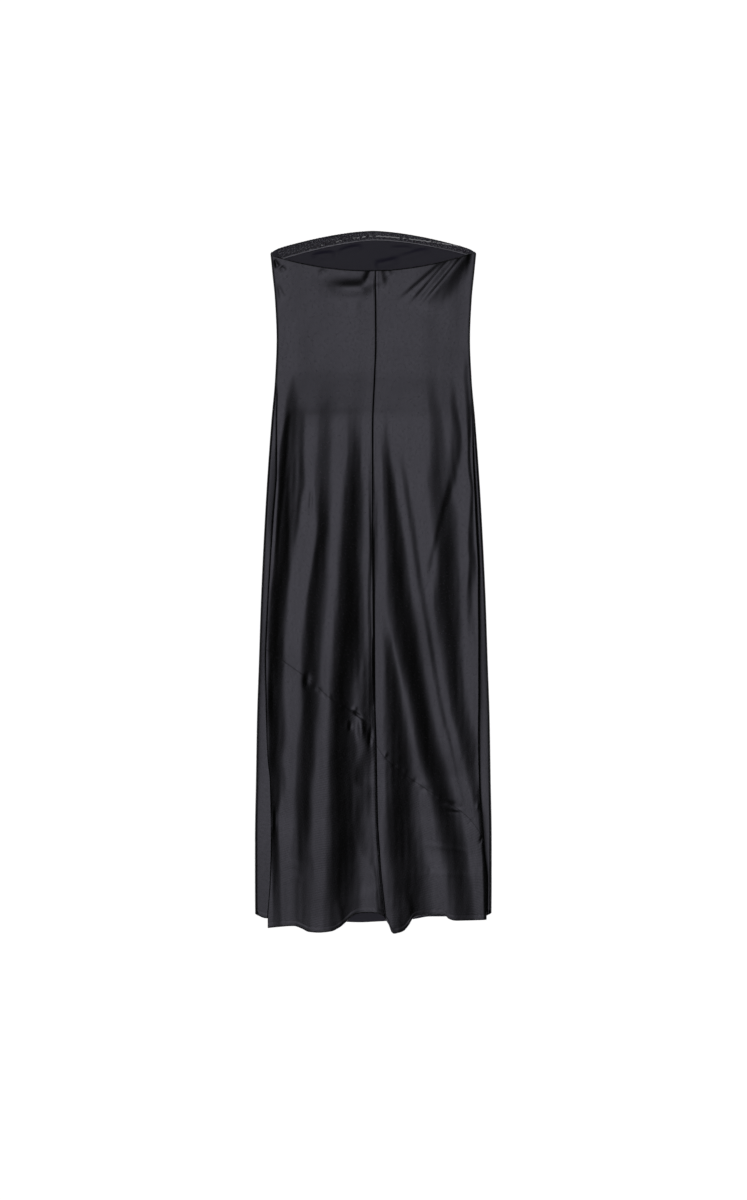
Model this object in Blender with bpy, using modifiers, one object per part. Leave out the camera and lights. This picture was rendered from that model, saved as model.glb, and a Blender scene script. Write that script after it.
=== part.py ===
"""A bias-cut satin strapless maxi dress, laid flat with its back up. Metres, +Z up.

The neck points along +Y and the wearer's left side is at -X. The front panel lies on the
surface and wraps round both sides. The four back pieces lie on it, touching it along the
centre back and in the troughs of the folds, and stand off it under the crests.
"""

import math

import bpy
import numpy as np

# Cloth
cloth = 0.0012
seam_gap = 0.0007
centre_gap = 0.0011
diagonal_gap = 0.0014
lying_gap = 0.0004

# The side of the dress, where the front panel turns up and over
side_height = 0.0074
hem_side_height = 0.0096
hem_side_from = -0.22
hem_side_full = -0.50
roll_reach = 0.0050
strip_least = 0.0008

# Neck
front_peak = 0.632
front_fall = 0.034
front_fall_at = 0.180
front_curve = 1.6
corner_fall = 0.007
corner_at = 0.186
corner_sharpness = 30
back_dip = 0.560
back_rise = 0.028
back_rise_at = 0.175
back_tilt = 0.015

# Elastic band inside the front neck, with its silicone line
band_inset = 0.0010
band_depth = 0.0165
band_depth_change = 0.0035
band_reach = 0.166
band_thickness = 0.0010
silicone_width = 0.0040
silicone_inset = 0.0105
silicone_inset_change = 0.0075
silicone_reach = 0.158
silicone_thickness = 0.0006

# Concealed zip behind the centre-back seam
zip_width = 0.020
zip_thickness = 0.0007
zip_top = 0.552
zip_end = 0.277

# Share of the way between two fold lines that the cloth takes to step across
slope_share = 0.86

# How finely each piece is divided
back_columns = 20
upper_rows = 25
lower_rows = 12
front_rows = 30
front_columns = 13
roll_steps = 6
band_steps = 32
band_rows = 3
silicone_rows = 1
zip_rows = 18
zip_columns = 6
settling_rounds = 4

# Outline: how wide the dress lies at each height.
side_rows = (
    # y, half width
    (0.590, 0.1852),
    (0.554, 0.1816),
    (0.508, 0.1771),
    (0.436, 0.1741),
    (0.364, 0.1770),
    (0.292, 0.1833),
    (0.148, 0.1932),
    (-0.032, 0.2022),
    (-0.140, 0.2058),
    (-0.248, 0.2094),
    (-0.356, 0.2112),
    (-0.464, 0.2130),
    (-0.540, 0.2130),
    (-0.600, 0.2126),
)

# How far each side seam lies inside the edge.
left_seam_rows = (
    # y, inset
    (0.590, 0.0036),
    (0.436, 0.0038),
    (0.364, 0.0042),
    (0.328, 0.0065),
    (0.256, 0.0115),
    (0.184, 0.0154),
    (0.040, 0.0132),
    (-0.122, 0.0111),
    (-0.212, 0.0154),
    (-0.356, 0.0260),
    (-0.464, 0.0300),
    (-0.540, 0.0280),
    (-0.600, 0.0228),
)
right_seam_rows = (
    # y, inset
    (0.590, 0.0036),
    (0.436, 0.0036),
    (0.364, 0.0040),
    (0.292, 0.0050),
    (0.200, 0.0088),
    (0.040, 0.0098),
    (-0.122, 0.0147),
    (-0.284, 0.0200),
    (-0.392, 0.0187),
    (-0.482, 0.0143),
    (-0.536, 0.0095),
    (-0.600, 0.0090),
)

# Centre-back seam: it leans a little to the right on its way down.
centre_rows = (
    # y, x
    (0.560, 0.0036),
    (0.430, 0.0044),
    (0.364, 0.0020),
    (0.277, -0.0012),
    (-0.150, -0.0009),
    (-0.284, 0.0026),
    (-0.356, 0.0036),
    (-0.437, 0.0054),
    (-0.518, 0.0108),
    (-0.572, 0.0162),
    (-0.610, 0.0200),
)

# Diagonal seam that joins the upper and lower back pieces
diagonal_rows = (
    # x, y
    (-0.200, -0.117),
    (-0.166, -0.139),
    (-0.112, -0.178),
    (-0.072, -0.212),
    (-0.032, -0.236),
    (0.005, -0.293),
    (0.020, -0.315),
    (0.097, -0.374),
    (0.166, -0.419),
    (0.205, -0.468),
)

# Hems: the cloth that stands in a crest reaches lower than the cloth in a trough.
back_hem_rows = (
    # x, y
    (-0.190, -0.6205),
    (-0.140, -0.617),
    (-0.124, -0.624),
    (-0.095, -0.629),
    (-0.059, -0.6195),
    (-0.046, -0.609),
    (-0.034, -0.599),
    (0.014, -0.600),
    (0.022, -0.615),
    (0.036, -0.632),
    (0.050, -0.628),
    (0.062, -0.617),
    (0.070, -0.606),
    (0.080, -0.602),
    (0.126, -0.600),
    (0.136, -0.606),
    (0.166, -0.608),
    (0.206, -0.606),
)
front_hem_rows = (
    # x, y
    (-0.2130, -0.596),
    (-0.1940, -0.604),
    (-0.1000, -0.608),
    (-0.0230, -0.6125),
    (0.0000, -0.6115),
    (0.0700, -0.607),
    (0.1030, -0.602),
    (0.1950, -0.602),
    (0.2130, -0.5945),
)

# The main folds: the cloth lies nearly even over the bodice and gathers into crests and
# troughs down the skirt. A row gives where each lies across the dress and how high the
# cloth stands there, at each of these heights.
fold_stations = (0.590, 0.440, 0.300, 0.184, 0.040, -0.080, -0.221, -0.383, -0.572)
fold_rows = (
    # name, x at each station, height at each station
    ("left shoulder",
     (-0.112, -0.112, -0.112, -0.114, -0.122, -0.140, -0.148, -0.155, -0.158),
     (0.0092, 0.0101, 0.0134, 0.0158, 0.0146, 0.0141, 0.0128, 0.0120, 0.0113)),
    ("left crest",
     (-0.058, -0.056, -0.064, -0.068, -0.074, -0.082, -0.086, -0.095, -0.096),
     (0.0105, 0.0126, 0.0168, 0.0198, 0.0205, 0.0207, 0.0206, 0.0180, 0.0146)),
    ("centre trough",
     (-0.002, -0.001, -0.002, -0.002, -0.004, -0.006, -0.005, -0.003, 0.005),
     (0.0096, 0.0112, 0.0132, 0.0122, 0.0093, 0.0070, 0.0053, 0.0037, 0.0036)),
    ("centre crest",
     (0.016, 0.014, 0.012, 0.011, 0.011, 0.012, 0.013, 0.015, 0.027),
     (0.0099, 0.0118, 0.0139, 0.0128, 0.0106, 0.0092, 0.0120, 0.0140, 0.0158)),
    ("right trough",
     (0.034, 0.030, 0.022, 0.020, 0.020, 0.028, 0.056, 0.094, 0.116),
     (0.0100, 0.0118, 0.0140, 0.0129, 0.0107, 0.0084, 0.0049, 0.0036, 0.0036)),
    ("right crest",
     (0.086, 0.082, 0.070, 0.056, 0.070, 0.087, 0.111, 0.156, 0.189),
     (0.0098, 0.0115, 0.0142, 0.0168, 0.0192, 0.0180, 0.0138, 0.0120, 0.0112)),
    ("right low",
     (0.160, 0.164, 0.166, 0.158, 0.160, 0.165, 0.173, 0.188, 0.199),
     (0.0075, 0.0076, 0.0080, 0.0086, 0.0084, 0.0077, 0.0076, 0.0090, 0.0098)),
)


def through(knots, values, at):
    """Reads a smooth curve through the knots, which never overshoots them."""
    knots = np.asarray(knots, float)
    values = np.asarray(values, float)
    order = np.argsort(knots)
    knots = knots[order]
    values = values[order]
    span = np.diff(knots)
    rise = np.diff(values) / span
    product = rise[:-1] * rise[1:]
    total = rise[:-1] + rise[1:]
    slope = np.zeros(len(knots))
    slope[1:-1] = np.where(product > 0, 2 * product / np.where(product > 0, total, 1), 0)
    slope[0] = rise[0]
    slope[-1] = rise[-1]
    at = np.clip(at, knots[0], knots[-1])
    low = np.clip(np.searchsorted(knots, at) - 1, 0, len(span) - 1)
    t = (at - knots[low]) / span[low]
    start = values[low] * (2 * t**3 - 3 * t**2 + 1) + values[low + 1] * (3 * t**2 - 2 * t**3)
    lean = slope[low] * (t**3 - 2 * t**2 + t) + slope[low + 1] * (t**3 - t**2)
    return start + lean * span[low]


def column(rows, number):
    return [row[number] for row in rows]


def half_width(y):
    return through(column(side_rows, 0), column(side_rows, 1), y)


def left_seam(y):
    return through(column(left_seam_rows, 0), column(left_seam_rows, 1), y) - half_width(y)


def right_seam(y):
    return half_width(y) - through(column(right_seam_rows, 0), column(right_seam_rows, 1), y)


def centre_seam(y):
    return through(column(centre_rows, 0), column(centre_rows, 1), y)


def diagonal_seam(x):
    return through(column(diagonal_rows, 0), column(diagonal_rows, 1), x)


def back_hem(x):
    return through(column(back_hem_rows, 0), column(back_hem_rows, 1), x)


def front_hem(x):
    return through(column(front_hem_rows, 0), column(front_hem_rows, 1), x)


def front_neck(x):
    fall = front_fall * (abs(x) / front_fall_at) ** front_curve
    return front_peak - fall - corner_fall * (abs(x) / corner_at) ** corner_sharpness


def back_neck(x):
    return back_dip + back_rise * (x / back_rise_at) ** 2 + back_tilt * x


def ease(t):
    """Goes from 0 to 1 with a level start and end."""
    t = np.clip(t, 0, 1)
    return t * t * (3 - 2 * t)


def edge_height(y):
    """How high the cloth stands along both sides, which rises towards the hem."""
    share = ease((hem_side_from - y) / (hem_side_from - hem_side_full))
    return side_height + (hem_side_height - side_height) * share


def back_height(x, y):
    """Height of the outer face of the cloth that lies on top.

    It steps smoothly from each fold line to the next, from the left seam to the right one.
    """
    lines = [through(fold_stations, row[1], y) for row in fold_rows]
    heights = [through(fold_stations, row[2], y) for row in fold_rows]
    lines = [left_seam(y), *lines, right_seam(y)]
    heights = [edge_height(y), *heights, edge_height(y)]
    level = heights[0]
    for i in range(len(lines) - 1):
        along = (x - lines[i]) / (lines[i + 1] - lines[i])
        along = (along - 0.5) / slope_share + 0.5
        level = level + (heights[i + 1] - heights[i]) * ease(along)
    return level


def grid_mesh(name, points):
    """A mesh of four-sided faces over a grid of points, rows by columns."""
    rows, columns = points.shape[:2]
    corner = np.arange(rows * columns).reshape(rows, columns)
    faces = np.stack(
        [corner[:-1, :-1], corner[1:, :-1], corner[1:, 1:], corner[:-1, 1:]], axis=-1
    )
    mesh = bpy.data.meshes.new(name)
    mesh.from_pydata(points.reshape(-1, 3).tolist(), [], faces.reshape(-1, 4).tolist())
    mesh.update()
    mesh.shade_smooth()
    return mesh


def satin():
    return material("black satin", (0.010, 0.010, 0.012), 0.35)


def material(name, colour, roughness):
    made = bpy.data.materials.get(name)
    if made is None:
        made = bpy.data.materials.new(name)
        made.use_nodes = True
        shader = made.node_tree.nodes["Principled BSDF"]
        shader.inputs["Base Color"].default_value = (*colour, 1)
        shader.inputs["Roughness"].default_value = roughness
        shader.inputs["Metallic"].default_value = 0
    return made


def cloth_piece(name, points, thickness, surface, collection):
    """A grid of points on the outer face, thickened inwards by a Solidify modifier."""
    piece = bpy.data.objects.new(name, grid_mesh(name, points))
    piece.data.materials.append(surface)
    wall = piece.modifiers.new("wall", "SOLIDIFY")
    wall.thickness = thickness
    wall.offset = -1
    collection.objects.link(piece)
    return piece


def panel_points(left, right, top, bottom, rows):
    """Points on the top layer between two side lines x(y) and two end lines y(x)."""
    across = np.linspace(0, 1, back_columns + 1)[None, :]
    down = np.linspace(0, 1, rows + 1)[:, None]
    y = top(0.0) + (bottom(0.0) - top(0.0)) * down + 0 * across
    for _ in range(settling_rounds):
        x = left(y) + (right(y) - left(y)) * across
        y = top(x) + (bottom(x) - top(x)) * down
    x = left(y) + (right(y) - left(y)) * across
    return np.stack([x, y, back_height(x, y)], axis=-1)


def moved(line, distance):
    return lambda at: line(at) + distance


def make_back_pieces(surface, collection):
    half = seam_gap / 2
    half_centre = centre_gap / 2
    half_diagonal = diagonal_gap / 2
    sides = {
        "left": (moved(left_seam, half), moved(centre_seam, -half_centre)),
        "right": (moved(centre_seam, half_centre), moved(right_seam, -half)),
    }
    ends = {
        "upper": (back_neck, moved(diagonal_seam, half_diagonal), upper_rows),
        "lower": (moved(diagonal_seam, -half_diagonal), back_hem, lower_rows),
    }
    for side, (left, right) in sides.items():
        for end, (top, bottom, rows) in ends.items():
            points = panel_points(left, right, top, bottom, rows)
            cloth_piece(f"back_{side}_{end}", points, cloth, surface, collection)


def front_section():
    """Kind, place and share of the side's height of each column of the front panel.

    The columns run from the left side seam over the edge, under and up to the right one. A
    side turns over in half an ellipse.
    """
    turn = np.linspace(0, math.pi, roll_steps + 1)
    out = np.sin(turn)
    up = (1 + np.cos(turn)) / 2
    section = []
    for share in (0, 0.5):
        section.append(("left strip", share, 1))
    for i in range(roll_steps + 1):
        section.append(("left roll", out[i], up[i]))
    for share in np.linspace(0, 1, front_columns + 1)[1:-1]:
        section.append(("bottom", share, 0))
    for i in range(roll_steps, -1, -1):
        section.append(("right roll", out[i], up[i]))
    for share in (0.5, 0):
        section.append(("right strip", share, 1))
    return section


def front_x(kind, value, y):
    left = left_seam(y) - seam_gap / 2
    right = right_seam(y) + seam_gap / 2
    left_roll = np.minimum(roll_reach, left + half_width(y) - strip_least)
    right_roll = np.minimum(roll_reach, half_width(y) - right - strip_least)
    left_edge = left_roll - half_width(y)
    right_edge = half_width(y) - right_roll
    if kind == "left strip":
        return left + (left_edge - left) * value
    if kind == "left roll":
        return left_edge - left_roll * value
    if kind == "bottom":
        return left_edge + (right_edge - left_edge) * value
    if kind == "right roll":
        return right_edge + right_roll * value
    return right + (right_edge - right) * value


def make_front_panel(surface, collection):
    down = np.linspace(0, 1, front_rows + 1)
    columns = []
    for kind, value, share in front_section():
        y = front_peak - 2 * front_peak * down
        for _ in range(settling_rounds):
            x = front_x(kind, value, y)
            y = front_neck(x) + (front_hem(x) - front_neck(x)) * down
        x = front_x(kind, value, y)
        columns.append(np.stack([x, y, share * edge_height(y)], axis=-1))
    points = np.stack(columns, axis=1)
    cloth_piece("front_panel", points[:, ::-1], cloth, surface, collection)


def strip_points(x, top, bottom, z, rows):
    """A flat strip between two lines y(x), its outer face at z."""
    share = np.linspace(0, 1, rows + 1)[:, None]
    y = top(x)[None, :] + (bottom(x) - top(x))[None, :] * share
    return np.stack([np.broadcast_to(x, y.shape), y, 0 * y + z], axis=-1)


def band_top(x):
    return front_neck(x) - band_inset


def band_bottom(x):
    return front_neck(x) - band_depth + band_depth_change * x / front_fall_at


def make_neck_band(surface, collection):
    x = np.linspace(-band_reach, band_reach, band_steps + 1)
    z = cloth + lying_gap + band_thickness
    points = strip_points(x, band_top, band_bottom, z, band_rows)
    cloth_piece("front_neck_band", points, band_thickness, surface, collection)


def silicone_middle(x):
    return front_neck(x) - silicone_inset + silicone_inset_change * x / front_fall_at


def make_silicone_line(surface, collection):
    x = np.linspace(-silicone_reach, silicone_reach, band_steps + 1)
    z = cloth + 2 * lying_gap + band_thickness + silicone_thickness
    half = silicone_width / 2
    points = strip_points(x, moved(silicone_middle, half), moved(silicone_middle, -half), z, silicone_rows)
    cloth_piece("silicone_line", points, silicone_thickness, surface, collection)


def make_zip(surface, collection):
    """The closed zip: its tape lies behind both lips of the centre-back seam."""
    y = np.linspace(zip_top, zip_end, zip_rows + 1)[:, None]
    across = np.linspace(-zip_width / 2, zip_width / 2, zip_columns + 1)[None, :]
    x = centre_seam(y) + across
    y = y + 0 * across
    z = back_height(x, y) - cloth - lying_gap
    points = np.stack([x, y, z], axis=-1)
    cloth_piece("centre_back_zip", points, zip_thickness, surface, collection)


def main():
    for thing in list(bpy.data.objects):
        bpy.data.objects.remove(thing)
    collection = bpy.data.collections.new("strapless maxi dress")
    bpy.context.scene.collection.children.link(collection)
    make_front_panel(satin(), collection)
    make_back_pieces(satin(), collection)
    make_neck_band(material("black elastic", (0.014, 0.014, 0.017), 0.7), collection)
    make_silicone_line(material("silicone", (0.05, 0.05, 0.06), 0.15), collection)
    make_zip(material("zip tape", (0.012, 0.012, 0.014), 0.6), collection)


main()
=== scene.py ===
import math
import bpy
import numpy as np
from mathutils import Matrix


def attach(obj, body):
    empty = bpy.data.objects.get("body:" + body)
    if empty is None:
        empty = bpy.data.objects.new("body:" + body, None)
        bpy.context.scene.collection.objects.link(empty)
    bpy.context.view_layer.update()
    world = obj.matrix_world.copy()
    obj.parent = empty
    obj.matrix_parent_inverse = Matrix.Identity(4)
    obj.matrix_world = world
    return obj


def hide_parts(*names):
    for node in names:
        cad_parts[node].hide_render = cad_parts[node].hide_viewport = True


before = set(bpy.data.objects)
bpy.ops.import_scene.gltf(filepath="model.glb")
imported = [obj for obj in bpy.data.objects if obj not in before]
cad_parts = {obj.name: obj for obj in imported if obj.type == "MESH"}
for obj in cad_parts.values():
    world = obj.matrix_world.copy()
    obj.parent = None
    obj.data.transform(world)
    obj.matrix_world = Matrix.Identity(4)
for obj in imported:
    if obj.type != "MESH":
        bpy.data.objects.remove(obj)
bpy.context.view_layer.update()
print("frame loaded")

# The dress lies flat with its back up: neck along +Y, wearer's left side at -X. Lengths are in
# metres, and in millimetres in the tables of rows. Every cloth piece is a grid of points on
# its outer face, thickened inwards to a shell.

lie = {
    "sideHeight": 0.0074,     # how high the cloth stands where the front turns over
    "hemHeight": 0.0108,      # the same towards the hem
    "hemHeightFrom": -0.22,   # it grows between these two places down the skirt
    "hemHeightFull": -0.50,
    "rollWidth": 0.0050,      # how far in that turn reaches
    "frontPeak": 0.632,       # top of the front neck
    "frontFall": 0.034,       # how much lower it lies this far out
    "frontFallAt": 0.180,
    "frontCurve": 1.6,
    "cornerFall": 0.007,      # the neck's corners drop off quickly
    "cornerAt": 0.186,
    "cornerSharpness": 30,
    "backDip": 0.560,         # bottom of the back neck
    "backRise": 0.028,        # how much higher it lies this far out
    "backRiseAt": 0.175,
    "backTilt": 0.015,        # and it slants up to the right
    "centreDip": 0.0010,      # the cloth lies lower along the centre back
    "centreDipWidth": 0.045,
    "centreDipEnd": -0.30,    # down to here, where it has faded out
    "centreDipFade": 0.25,
}

# height on the dress, half width
sideRows = (
    (590, 185.2), (554, 181.6), (508, 177.1), (436, 174.1), (364, 177), (292, 183.3),
    (148, 193.2), (-32, 202.2), (-140, 205.8), (-248, 209.4), (-356, 211.2),
    (-464, 213), (-540, 213), (-600, 212.6),
)

# height on the dress, how far the left side seam lies inside the edge, how low the cloth
# lies beside it, how deep its lip rolls down
leftSeamRows = (
    (590, 3.6, 0, 0), (436, 3.8, 0, 0), (364, 4.2, 0, 0), (328, 6.5, 0.1, 0.2),
    (256, 11.5, 0.2, 0.3), (241, 12.4, 0.5, 0.3), (223, 13.6, 0.9, 0.2),
    (184, 15.4, 1.4, 0.1), (112, 14.1, 1.2, 0.2), (40, 13.2, 0.3, 0.2),
    (-32, 12.3, 0.3, 0.2), (-122, 11.1, 0.4, 0.2), (-212, 15.4, 0.2, 0.2),
    (-320, 21.5, 0, 0.1), (-356, 26, 0, 0.1), (-464, 30, 0, 0.1), (-540, 28, 0, 0.1),
    (-600, 22.8, 0, 0.1),
)

# the same for the right side seam
rightSeamRows = (
    (590, 3.6, 0, 0), (436, 3.6, 0, 0), (364, 4, 0, 0), (292, 5, 0.1, 0.1),
    (238, 7.4, 0.3, 0.2), (200, 8.8, 0.6, 0.2), (166, 9, 0.8, 0.2),
    (112, 9.8, 0.9, 0.3), (40, 9.8, 0.9, 0.3), (-32, 12.3, 1.1, 0.2),
    (-122, 14.7, 1.3, 0.2), (-194, 17.1, 1.3, 0.2), (-284, 20, 1, 0.3),
    (-356, 19.6, 0.5, 0.3), (-392, 18.7, 0.4, 0.3), (-428, 16.6, 1, 0.1),
    (-482, 14.3, 1.2, 0.2), (-536, 9.5, 1.2, 0.2), (-600, 9, 1, 0.2),
)

# height on the dress, x of the centre-back seam
centreRows = (
    (560, 3.6), (430, 4.4), (364, 2), (277, -1.2), (-150, -0.9), (-284, 2.6),
    (-356, 3.6), (-437, 5.4), (-518, 10.8), (-572, 16.2), (-610, 20),
)

# x, height of the slanting seam that joins the upper and lower back
diagonalRows = (
    (-200, -117), (-166, -139), (-112, -178), (-72, -212), (-32, -236), (5, -293),
    (20, -315), (97, -374), (166, -419), (205, -468),
)

# x, height of the back hem, which reaches lower where the cloth stands in a fold
backHemRows = (
    (-190, -621.6), (-143, -617.8), (-128, -622.5), (-116, -628), (-98, -629.3),
    (-74, -627), (-64, -622.5), (-58, -619), (-52, -613.8), (-45, -607.5), (-38, -601),
    (-26, -596.5), (-8, -595.2), (7, -596.5), (19, -602), (24, -609), (28, -616),
    (32, -627), (37, -631), (46, -629.5), (55, -626.2), (61, -620), (65, -614.5),
    (71, -604.5), (78, -600.8), (88, -599), (127, -598.7), (136, -606.2), (148, -609.2),
    (166, -608.4), (206, -606.6),
)

# x, height of the front hem
frontHemRows = (
    (-213, -596), (-194, -604), (-100, -608), (-23, -612.5), (0, -611.5), (70, -607),
    (103, -602), (195, -602), (213, -594.5),
)

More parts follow.
